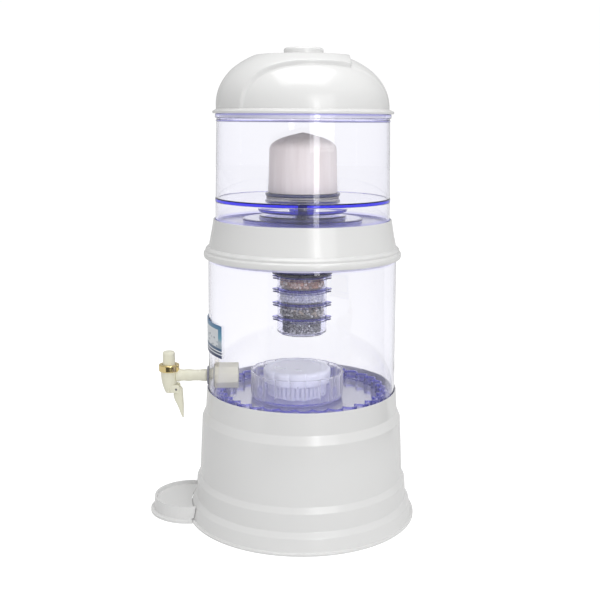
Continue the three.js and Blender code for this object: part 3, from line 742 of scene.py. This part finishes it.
# Lever: an ivory bar that hangs from the pin and curves down behind the spout to a narrow tip.
along = np.array([-160.6, -160.8, -161.8, -160.6, -158.9, -157.8, -156.8, -155.6])
down = np.array([168.8, 163.6, 157.6, 151, 145, 138, 131.5, 126.0])
depth = np.array([8.6, 10.8, 13.0, 11.4, 8.8, 6.0, 3.8, 1.2])
wide = np.array([10.4, 10.4, 10.2, 9.6, 8.8, 7.8, 6.4, 4.0])
s = np.linspace(0, 1, 64)
knots = np.linspace(0, 1, len(along))
path = np.stack([0 * s, np.interp(s, knots, along), np.interp(s, knots, down)], axis=-1)
soften = np.ones(9) / 9
for column in (1, 2):
    longer = np.pad(path[:, column], 4, mode="reflect", reflect_type="odd")
    path[:, column] = np.convolve(longer, soften, "valid")
ends = np.sqrt(np.clip(1 - (2 * s - 1) ** 26, 0, 1))
lever = swept(path, np.interp(s, knots, wide) * ends, np.interp(s, knots, depth) * ends, 0.88)
built("lever", [lever], "lever", "tap_lever", ivory)

# Stone case: a wide milky cup, a fluted drum of stones in it and the drum's lobed lid, all moulded in
# frosted clear plastic. The cup's floor is thick and ribbed, and shows blue.


def frosted(name, base, rough, cast, density):
    """Frosted plastic: blurred transmission with a milky base, darker where the attribute edge says so, and with
    a faint even painted glow from its emission over the whole wall.
    """
    material = clear_plastic(name, cast, density, (0.24, 0.23, 0.40), rough, 0.05, base,
                             painted_edge_glow=(0.02, 0.02, 0.03), painted_inner_glow=(0.05, 0.05, 0.055))
    material.node_tree.nodes["Principled BSDF"].inputs["Transmission Weight"].default_value = 0.3
    return material


# The cup's milky wall carries a faint even painted glow, and its edges the painted blue glow of the emission.
hazy = clear_plastic("cup_plastic", (0.7, 0.7, 0.95), 5.0, (0.20, 0.19, 0.66), (0.03, 0.09), 0.03,
                     (0.97, 0.97, 1), milk=(0.0, 0.95), painted_inner_glow=(0.02, 0.02, 0.025))
milky = frosted("frosted_plastic", (0.90, 0.91, 0.99), (0.22, 0.36), (0.6, 0.6, 0.95), 5.0)
case_low, case_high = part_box("stone_cup")
drum_low, drum_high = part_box("stone_drum")
cap_low, cap_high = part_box("drum_lid")
CASE = (0.0, -6.0)
foot, cup_rim = case_low.z / MM, case_high.z / MM


def lobes(count, depth, low, high):
    """Returns a wave that moves the radius by depth (|cos(n a / 2)|^0.6 - 0.6) between two heights."""
    def wave(verts):
        turn = np.arctan2(verts[:, 1], verts[:, 0])
        r = np.hypot(verts[:, 0], verts[:, 1])
        push = depth * (np.abs(np.cos(turn * count / 2)) ** 0.6 - 0.6) * band(verts[:, 2], low, high, 1.5)
        scale = 1 + push * band(r, 25, 200, 12) / np.maximum(r, 1)
        return verts * np.stack([scale, scale, np.ones_like(scale)], axis=-1)
    return wave


cup_outline = [
    (0, foot), (57, foot), (60, foot + 3), (59.6, cup_rim - 4), (60.2, cup_rim), (58, cup_rim),
    (57.6, foot + 4),
    (56, foot + 2), (0, foot + 2),
]
cup_outline = rounded(cup_outline, [0, 1, 1, 0.6, 0.7, 0.7, 1, 1, 0], longest=4.0)
cup = turned("stone_cup_milky", cup_outline, "stone_case", "stone_cup", hazy, 432, CASE,
             lobes(18, 2.4, foot + 8, cup_rim + 1))
r, turn, z, x, y = from_axis(cup)
spoke = np.arctan2(y + 6, x)
mark(cup, "edge", band(z, foot - 1, foot + 4.2) * (0.78 + 0.22 * np.cos(spoke * 60)))
drum_foot, drum_top = drum_low.z / MM, drum_high.z / MM
drum_outline = [
    (0, drum_foot), (38, drum_foot), (39, drum_foot + 1), (39, drum_top), (37, drum_top), (37, drum_foot + 2),
    (0, drum_foot + 2),
]
drum_outline = rounded(drum_outline, [0, 0.6, 0.6, 0.6, 0.6, 0.6, 0], longest=4.0)
FLUTES = 40
drum = turned("stone_drum_fluted", drum_outline, "stone_case", "stone_drum", milky, 480,
              CASE, lobes(FLUTES, 1.5, drum_foot + 1, drum_top - 1), 60)
r, turn, z, x, y = from_axis(drum)
flute = np.arctan2(y - CASE[1], x)
# The edge mark paints shade into the flute grooves: the frosted plastic turns darker in each groove between the
# flutes.
mark(drum, "edge", 0.8 * (1 - np.abs(np.cos(FLUTES / 2 * flute)) ** 0.5) * band(z, drum_foot + 2.5, drum_top - 2)
     * band(np.hypot(x, y - CASE[1]), 37.8, 45, 0.2))
lid_foot, lid_top = cap_low.z / MM, cap_high.z / MM
cap_outline = [
    (40.3, lid_foot), (43, lid_foot), (43, lid_top - 3), (40.5, lid_top - 0.4), (34, lid_top),
    (33, lid_top - 0.8),
    (0, lid_top - 0.8), (0, lid_top - 3), (32, lid_top - 3), (40.3, lid_top - 7),
]
cap_outline = rounded(cap_outline, [0.5, 0.7, 1.5, 1.5, 0.4, 0.4, 0, 0, 0.4, 0.5], longest=3.0)
case_lid = turned("stone_drum_lid", cap_outline, "case_lid", "drum_lid", milky, 360, CASE,
                  lobes(12, 2.4, lid_foot - 1, lid_top + 1), 60)
mark(case_lid, "edge", band(from_axis(case_lid)[2], lid_foot - 1, lid_foot + 0.8) * 0.5)

# Loose media: every grain is a small closed lump with its own turn, squash and shade, laid in rings round
# a dark core so that the clear cup looks full.


def lumps(places, sizes, seed, rough=0.18, squash=0.75):
    """Vertices, faces and shades of many small stones. Each is a ball of 4 rings of 7 points whose radius is
    stretched by random numbers, turned by a random unit quaternion (w, x, y, z) and moved to its place."""
    rng = np.random.default_rng(seed)
    count = len(places)
    up, around = 4, 7
    tilt = np.linspace(0, np.pi, up + 2)[1:-1]
    turn = np.arange(around) * 2 * np.pi / around
    ball = np.stack([
        np.sin(tilt)[:, None] * np.cos(turn), np.sin(tilt)[:, None] * np.sin(turn),
        np.cos(tilt)[:, None] + 0 * turn], axis=-1).reshape(-1, 3)
    ball = np.vstack([ball, [0, 0, 1], [0, 0, -1]])
    points = ball[None] * (1 + rough * (rng.random((count, len(ball), 1)) - 0.5) * 2)
    points = points * rng.uniform(squash, 1, (count, 1, 3)) * np.asarray(sizes)[:, None, None] / 2
    w, i, j, k = (q := rng.normal(size=(count, 4))).T / np.linalg.norm(q, axis=1)
    spin = np.stack([
        1 - 2 * (j * j + k * k), 2 * (i * j - k * w), 2 * (i * k + j * w),
        2 * (i * j + k * w), 1 - 2 * (i * i + k * k), 2 * (j * k - i * w),
        2 * (i * k - j * w), 2 * (j * k + i * w), 1 - 2 * (i * i + j * j)], axis=-1).reshape(-1, 3, 3)
    points = np.einsum("nab,nvb->nva", spin, points) + np.asarray(places)[:, None]
    row, a = np.arange(up - 1)[:, None], np.arange(around)
    b = (a + 1) % around
    near, far = row * around, (row + 1) * around
    one = np.stack([near + a, far + a, far + b, near + b], axis=-1).reshape(-1, 4)
    top, bottom, last = up * around, up * around + 1, (up - 1) * around
    caps = np.vstack([np.stack([np.full(around, top), a, b], axis=-1),
                      np.stack([np.full(around, bottom), last + b, last + a], axis=-1)])
    step = (np.arange(count) * len(ball))[:, None, None]
    faces = (one[None] + step).reshape(-1, 4).tolist() + (caps[None] + step).reshape(-1, 3).tolist()
    return points.reshape(-1, 3), faces, np.repeat(rng.random(count), len(ball))


def packed_bed(name, node, body, slot, colours, grain, seed, gloss=(0.3, 0.5), squash=0.75, inset=0.0,
               centre=(0, 0)):
    """A bed of grains in a cup: rings of lumps at the wall, spaced by the grain's size, layers of them on
    top, and a plain core inside."""
    rng = np.random.default_rng(seed + 1)
    low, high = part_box(node)
    bottom, top = low.z / MM, high.z / MM
    radius = (high.x - low.x) / 2 / MM - inset
    places = []
    rows = max(2, round((top - bottom) / (0.82 * grain)))
    for level in np.linspace(bottom + grain / 2, top - grain / 2, rows):
        around = int(2 * np.pi * (radius - grain / 2) / (0.9 * grain))
        turn = (np.arange(around) + rng.random(around) * 0.5 + rng.random()) * 2 * np.pi / around
        r = radius - grain / 2 - rng.random(around) * 0.25 * grain
        lift = (rng.random(around) - 0.5) * 0.3 * grain
        places.append(np.stack([r * np.cos(turn), r * np.sin(turn), level + lift], axis=-1))
    for ring in np.arange(radius - 1.4 * grain, grain / 3, -0.95 * grain):
        around = max(3, int(2 * np.pi * ring / (0.95 * grain)))
        turn = (np.arange(around) + rng.random(around) * 0.4) * 2 * np.pi / around
        level = top - grain / 2 + (rng.random(around) - 0.5) * 0.4 * grain
        places.append(np.stack([ring * np.cos(turn), ring * np.sin(turn), level], -1))
    places = np.vstack(places)
    sizes = grain * rng.uniform(0.85, 1.12, len(places))
    verts, faces, shades = lumps(places, sizes, seed, squash=squash)
    core_radius, core_top = radius - 0.75 * grain, top - 0.8 * grain
    core = revolve([(0, bottom + 0.3), (core_radius, bottom + 0.3),
                    (core_radius, core_top), (0, core_top)], 32)
    bed = built(name, [(verts, faces), core], body, node, media(slot, colours, gloss), centre, 70)
    mark(bed, "shade", np.concatenate([shades, np.full(len(core[0]), 0.02)]))
    return bed


def media(name, colours, gloss):
    """Material of loose grains: a ramp over each grain's own shade, mottled by a fine noise."""
    material, nodes, links, shader = fresh_material(name)
    own = nodes.new("ShaderNodeAttribute")
    own.attribute_name = "shade"
    stops = [(i / (len(colours) - 1), colour) for i, colour in enumerate(colours)]
    tone = ramped(nodes, links, own.outputs["Fac"], stops)
    mottle = noise(nodes, links, 1400.0, 3.0, nodes.new("ShaderNodeTexCoord").outputs["Object"])
    spots = ranged(nodes, links, mottle, 0.6, 1.25)
    links.new(mixed(nodes, links, 1.0, tone, spots, "MULTIPLY"), shader.inputs["Base Color"])
    links.new(ranged(nodes, links, mottle, *gloss), shader.inputs["Roughness"])
    return material


packed_bed("mineral_stones_loose", "mineral_stones", "stone_case", "mineral_stone",
           [(0.25, 0.2, 0.17), (0.62, 0.58, 0.52), (0.45, 0.3, 0.22), (0.85, 0.84, 0.82)],
           9.0, 11, (0.3, 0.5),
           0.7, 0.8, CASE)
packed_bed("clay_balls", "clay_ball_bed", "cartridge", "red_clay",
           [(0.42, 0.18, 0.12), (0.95, 0.86, 0.78), (0.66, 0.34, 0.22), (0.97, 0.93, 0.88),
            (0.25, 0.12, 0.09),
            (0.85, 0.62, 0.48)], 4.8, 21, (0.5, 0.8), 0.8)
packed_bed("silica_beads", "silica_bead_bed", "cartridge", "silica",
           [(0.72, 0.72, 0.84), (0.95, 0.95, 1.0), (0.62, 0.63, 0.78), (0.99, 0.99, 1.0)],
           4.2, 31, (0.1, 0.3), 0.9)
packed_bed("zeolite_grains", "zeolite_grain_bed", "cartridge", "zeolite",
           [(0.05, 0.045, 0.04), (0.90, 0.86, 0.80), (0.12, 0.11, 0.10), (0.50, 0.40, 0.30),
            (0.95, 0.94, 0.92),
            (0.07, 0.065, 0.06)], 4.6, 41, (0.4, 0.7), 0.65)
packed_bed("mineral_sand_grains", "mineral_sand_bed", "cartridge", "mineral_sand",
           [(0.04, 0.04, 0.05), (0.75, 0.75, 0.78), (0.08, 0.08, 0.10), (0.40, 0.40, 0.43),
            (0.05, 0.05, 0.06),
            (0.92, 0.92, 0.94)], 3.2, 51, (0.3, 0.6), 0.7)

# Cartridge: four stacked cups moulded in clear violet-blue plastic with rims and two lugs each, the black
# cap over them, and the clear neck with its bed of carbon, which hangs them from the collar.
# Its edges carry a faint painted blue glow from the emission.
blue_clear = clear_plastic("blue_clear_plastic", (0.22, 0.22, 0.97), 30.0, (0.20, 0.19, 0.72),
                           base=(0.97, 0.97, 1), painted_edge_glow=(0, 0, 0.02))


def lugged(verts):
    """Two lugs stand out from each rim, on the line of Y: dr = 4.6 / (1 + ((1 - |sin a|) / 0.012)^2)."""
    r, turn = np.hypot(verts[:, 0], verts[:, 1]), np.arctan2(verts[:, 1], verts[:, 0])
    lug = 4.6 / (1 + ((1 - np.abs(np.sin(turn))) / 0.012) ** 2) * (r > 32.8)
    scale = 1 + lug / np.maximum(r, 1)
    return verts * np.stack([scale, scale, np.ones_like(scale)], axis=-1)


for stage in (1, 2, 3, 4):
    low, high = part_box(f"stage_cup_{stage}")
    low, high = low.z / MM, high.z / MM
    ease = 2.6 if stage == 4 else 0.6
    cup_outline = [
        (0, low), (32 - ease, low), (32, low + ease), (32, high - 4.4), (33.2, high - 4.2),
        (33.2, high - 3.2),
        (32, high - 3), (32, high - 1.3), (33.6, high - 1.1), (33.6, high), (30.6, high),
        (30.6, low + 1.4 + ease), (30.6 - ease, low + 1.4), (0, low + 1.4),
    ]
    cup_outline = rounded(cup_outline, [0, 0.5, 0.5] + [0.25] * 9 + [0.5, 0], longest=2.5)
    cup = turned(f"cartridge_cup_{stage}", cup_outline, "cartridge",
                 f"stage_cup_{stage}", blue_clear, 192, wave=lugged)
    z = from_axis(cup)[2]
    rim, step = band(z, high - 1.2, high + 1, 0.2), band(z, high - 4.4, high - 3, 0.2)
    mark(cup, "edge", np.maximum(rim * 0.9, step * 0.5))
black_plastic = plastic("black_plastic", (0.012, 0.012, 0.02), (0.02, 0.02, 0.03), (0.2, 0.35), 300.0, 0.02)
cap_outline = [(0, 317.3), (33.2, 317.3), (39, 320), (39, 322), (36.5, 322), (36.5, 321), (0, 321)]
turned("cartridge_cap", rounded(cap_outline, [0, 0.6, 0.6, 0.5, 0.4, 0.4, 0]), "cartridge",
       "carbon_cap", black_plastic, 128)
neck_outline = [
    (31.5, 322.3), (34, 322.3), (34, 387.3), (42, 387.3), (42, 389.8), (31.5, 389.8),
]
neck = turned("cartridge_neck_tube", rounded(neck_outline, 0.5), "cartridge",
              "cartridge_neck", blue_clear, 128)
mark(neck, "edge", band(from_axis(neck)[2], 322, 323.4, 0.3) * 0.8)
packed_bed("carbon_grains", "carbon_bed", "cartridge", "black_carbon",
           [(0.01, 0.01, 0.011), (0.03, 0.03, 0.032), (0.015, 0.015, 0.016)], 3.6, 61, (0.3, 0.6), 0.65)

# Collar: a white moulding that sits on the lower tank's edge with a lip inside it. It flares down to a
# double bead, and its flat deck carries the upper tank's skirt and the cartridge.
collar_low, collar_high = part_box("collar_shell")
collar_top = collar_high.z / MM
collar_outline = [
    (123.4, 341), (124.9, 341.8), (125.8, 344), (125.6, 348), (123.2, 349.8), (123.4, 352.6), (121.0, 355),
    (119.3, 355.6), (115.6, 373.6), (112.9, collar_top), (111, collar_top), (111, 387), (36, 387),
    (36, 383.5),
    (109, 383.5), (112.6, 368), (114.1, 352), (114.1, 338), (116.6, 338), (116.6, 341),
]
collar_fillets = [0.4, 0.8, 1.2, 1.0, 0.4, 0.5, 0.5, 0.5, 12, 0.7, 0.4] + [0.8] * 9
turned("collar", rounded(collar_outline, collar_fillets), "collar", "collar_shell",
       white_plastic, spins=240)

# Cover on the deck: a shallow stepped cap in the violet-blue plastic that catches the drips of the stem.
cover_low, cover_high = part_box("inlet_cover")
seat, cover_top = cover_low.z / MM, cover_high.z / MM
cover_outline = [
    (76, seat), (76, 391.8), (74, 392.4), (55.6, 392.4), (54.6, cover_top), (13.6, cover_top),
    (13.6, cover_top - 2.1), (53.5, cover_top - 2.1), (53.5, 390.3), (74, 390.3), (74, seat),
]
cover_outline = rounded(cover_outline, [0.4, 0.6, 0.5, 0.4, 0.5] + [0.4] * 6, longest=4.0)
cover = turned("inlet_cap", cover_outline, "collar", "inlet_cover", blue_clear, 192)
r, turn, z, x, y = from_axis(cover)
mark(cover, "edge", np.maximum(band(r, 53, 56.5, 0.5) * 0.5, band(r, 73, 77) * 0.4))

# Upper tank: the same clear plastic, with a thick floor above a skirt that stands in the collar's rim, a
# flange at its mouth and a thin ring moulded just below that.
upper_low, upper_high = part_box("upper_tank_shell")
upper_top, skirt = upper_high.z / MM, upper_low.z / MM
UPPER_FLOOR = 416.5
upper_outline = [
    (110.3, skirt), (110.1, 412), (110.5, 413), (110.5, 416.2), (109.9, 417), (107.9, 510.6), (108.6, 511.2),
    (108.6, 512.2), (107.8, 512.8), (107.7, 514.6), (109.6, 515.2), (109.6, upper_top), (105, upper_top),
    (107, UPPER_FLOOR), (7.2, UPPER_FLOOR), (7.2, UPPER_FLOOR - 3.5), (107, UPPER_FLOOR - 3.5),
    (107.8, skirt),
]
upper_fillets = [0.6] * 5 + [0.3] * 4 + [0.4, 0.6, 0.6, 1.2, 0.4, 0.4, 1.2, 0.6, 0.6]
upper_tank = turned("upper_tank", rounded(upper_outline, upper_fillets, longest=3.0), "upper_tank",
                    "upper_tank_shell", tank_plastic, 240)
r, turn, z, x, y = from_axis(upper_tank)
# Edge mark: a deeper blue-violet cast along the floor's edge, the mouth, the thin ring and the skirt, where the
# eye looks through more plastic, and with it the painted blue glow of the emission there.
mark(upper_tank, "edge", np.maximum.reduce([
    band(z, UPPER_FLOOR - 3.2, UPPER_FLOOR - 0.4, 0.3) * band(r, 108, 113),
    band(z, 518.6, upper_top + 1) * 0.45, band(z, 511.4, 512.2, 0.3) * 0.5,
    band(z, skirt - 1, skirt + 4) * 0.3]))

# Dome filter: a ceramic shell, slip cast and fired, stands on a dark plate with a gasket under it, and its
# stem runs down through the floor, where a clear blue dish and a nut clamp it.


def fired_ceramic():
    """Warm pale grey ceramic: soft upright streaks from wiping, a fine pitted grain and an even satin."""
    material, nodes, links, shader = fresh_material("dome_ceramic")
    shader.inputs["Coat Weight"].default_value = 0.25
    shader.inputs["Coat Roughness"].default_value = 0.25
    streaks = noise(nodes, links, 1.0, 3.0, stretched(nodes, links, (60, 60, 3)))
    pits = noise(nodes, links, 1800.0, 2.0, nodes.new("ShaderNodeTexCoord").outputs["Object"])
    tone = ramped(nodes, links, streaks, [(0.3, (0.74, 0.665, 0.63)), (0.7, (0.90, 0.845, 0.81))])
    links.new(tone, shader.inputs["Base Color"])
    links.new(ranged(nodes, links, streaks, 0.35, 0.5), shader.inputs["Roughness"])
    raised(nodes, links, pits, 0.12, 0.0005, shader)
    return material


def crown_curve(radius, spring, apex, steps=30):
    """The dome's crown: radius = R (1 - t^2.8) as t goes from 0 at the spring line to 1 at the tip."""
    t = np.sin(np.linspace(0, np.pi / 2, steps))[:-1]
    return np.stack([radius * (1 - t ** 2.8), spring + (apex - spring) * t], axis=-1)


dome_low, dome_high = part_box("ceramic_dome")
seat, apex = dome_low.z / MM, dome_high.z / MM
DOME_SPRING, DOME_WALL = 474, 7
dome_outline = np.vstack([
    [(37, seat), (43.6, seat), (44, seat + 0.6), (43.3, 440), (42.8, 460)],
    crown_curve(42.4, DOME_SPRING, apex), [(0, apex), (0, apex - DOME_WALL)],
    crown_curve(35.4, DOME_SPRING, apex - DOME_WALL)[::-1], [(35.8, 460), (36.6, 440)]])
turned("ceramic_dome_glazed", dome_outline, "upper_tank", "ceramic_dome", fired_ceramic(),
       128)
base_low, base_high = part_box("dome_base")
low, high = base_low.z / MM, base_high.z / MM
plate_plastic = plastic("plate_plastic", (0.07, 0.08, 0.17), (0.05, 0.055, 0.13), (0.15, 0.25), 300.0, 0.02)
plate_outline = [
    (6.3, low), (46.6, low), (47.4, low + 0.8), (47.4, high - 0.8), (46.6, high), (6.3, high),
]
turned("dome_plate", rounded(plate_outline, 0.4), "upper_tank", "dome_base", plate_plastic,
       128)
gasket_low, gasket_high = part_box("dome_gasket")
low, high = gasket_low.z / MM, gasket_high.z / MM
gasket_rubber = plastic("gasket_rubber", (0.45, 0.42, 0.41), (0.38, 0.36, 0.35), (0.5, 0.6), 900.0, 0.06)
turned("dome_gasket_ring", rounded([(8, low), (46, low), (46, high), (8, high)], 0.5), "upper_tank",
       "dome_gasket", gasket_rubber, 128)
stem_low, stem_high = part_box("filter_stem")
low, high = stem_low.z / MM, stem_high.z / MM
stem_outline = [(3.4, low), (5.4, low), (6, low + 0.8), (6, 423.1), (12, 423.1), (12, high), (3.4, high)]
turned("stem", rounded(stem_outline, 0.4), "upper_tank", "filter_stem", black_plastic, 48)
dish_outline = [
    (6.3, 399), (52, 399), (55.5, 400.5), (57, 404), (54.8, 404), (53.6, 401.3), (17, 401.3), (16, 412.7),
    (6.3, 412.7),
]
dish = turned("backing_plate", rounded(dish_outline, 0.4, longest=3.0), "upper_tank",
              "backing_dish", blue_clear, 160)
r, turn, z, x, y = from_axis(dish)
mark(dish, "edge", np.maximum(band(r, 50, 58), 0.5 + 0 * r))
keep("stem_nut", blue_clear, 0.5)

# Lid: a full white dome with a rim on the tank's edge and a lip inside it. A raised hood runs over the
# top from the front and stops in a step, and an arched panel is let into the dome on either side of it.
lid_low, lid_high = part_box("lid_shell")
crown = lid_high.z / MM
LID_SPRING, LID_RISE, LID_BULGE, LID_RADIUS = 526.0, 70.0, 2.1, 106.6
LID_WALL = 2.5


def lid_curve(inset, steps):
    """The lid's round stretch: radius = R (1 - t^b)^(1/b) as its height t goes from 0 to the flat crown."""
    t = (crown - LID_SPRING) / LID_RISE * np.sin(np.linspace(0, np.pi / 2, steps))
    radius = LID_RADIUS * (1 - t ** LID_BULGE) ** (1 / LID_BULGE)
    return np.stack([radius - inset, LID_SPRING + LID_RISE * t - inset * t], axis=-1)


def hooded(verts):
    """Pushes the dome's outer face out by up to 5.5 mm along its slope, less near the rim. The panel is
    the arch (|u - 14| / 87)^2.5 + ((z - 521) / 56)^2.5 < 1, u the distance towards the back, and the hood
    fades towards the back."""
    x, u, z = verts.T
    r = np.hypot(x, u)
    outer = band(z, LID_SPRING + 0.5, crown + 1, 3.0) * (r > LID_RADIUS * np.clip(
        1 - np.clip((z - LID_SPRING) / LID_RISE, 0, 1) ** LID_BULGE, 0, 1) ** (1 / LID_BULGE) - 1.2)
    arch = (np.abs(u - 14) / 87) ** 2.5 + (np.clip(z - 521, 0, None) / 56) ** 2.5
    raised = np.clip((arch - 0.95) / 0.12, 0, 1)
    raised = raised * raised * (3 - 2 * raised)
    front = np.clip((54 - u) / 3.0, 0, 1)
    front = front * front * (3 - 2 * front)
    height = raised * (0.9 + 4.6 * front) * outer * (0.3 + 0.7 * np.clip((z - 526) / 45, 0, 1))
    calm = np.clip((r - 16) / 20, 0, 1)
    slope = np.stack([x / np.maximum(r, 1) * r / LID_RADIUS, u / np.maximum(r, 1) * r / LID_RADIUS,
                      (z - LID_SPRING) / LID_RISE * 0.75], axis=-1)
    slope /= np.maximum(np.linalg.norm(slope, axis=1, keepdims=True), 1e-6)
    moved = verts + slope * (height * calm)[:, None]
    lowered = np.minimum(moved[:, 2], np.maximum(verts[:, 2], crown - 0.6))
    moved[:, 2] = np.where(outer > 0, lowered, moved[:, 2])
    return moved


rim = lid_low.z / MM + 8.3
lid_outline = np.vstack([
    rounded([(104.2, rim), (112.8, rim), (112.8, rim + 3.2), (107, 524.6)], [0.4, 0.9, 0.9, 0])[:-1],
    lid_curve(0, 110), [(26, crown), (0, crown)],
    [(0, crown - LID_WALL), (26, crown - LID_WALL)], lid_curve(LID_WALL, 40)[::-1],
    [(102, lid_low.z / MM + 3), (104.2, lid_low.z / MM + 3)],
])
turned("lid", lid_outline, "lid", "lid_shell", white_plastic, 420, wave=hooded, crease=50)
knob_low, knob_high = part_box("lid_knob")
low, high = knob_low.z / MM, knob_high.z / MM
knob_outline = [(0, low), (24.5, low), (24.5, high - 2), (22.6, high - 0.2), (19, high), (0, high)]
turned("knob", rounded(knob_outline, [0, 0.4, 1.5, 1.2, 3, 0]), "lid", "lid_knob",
       white_plastic, 96)
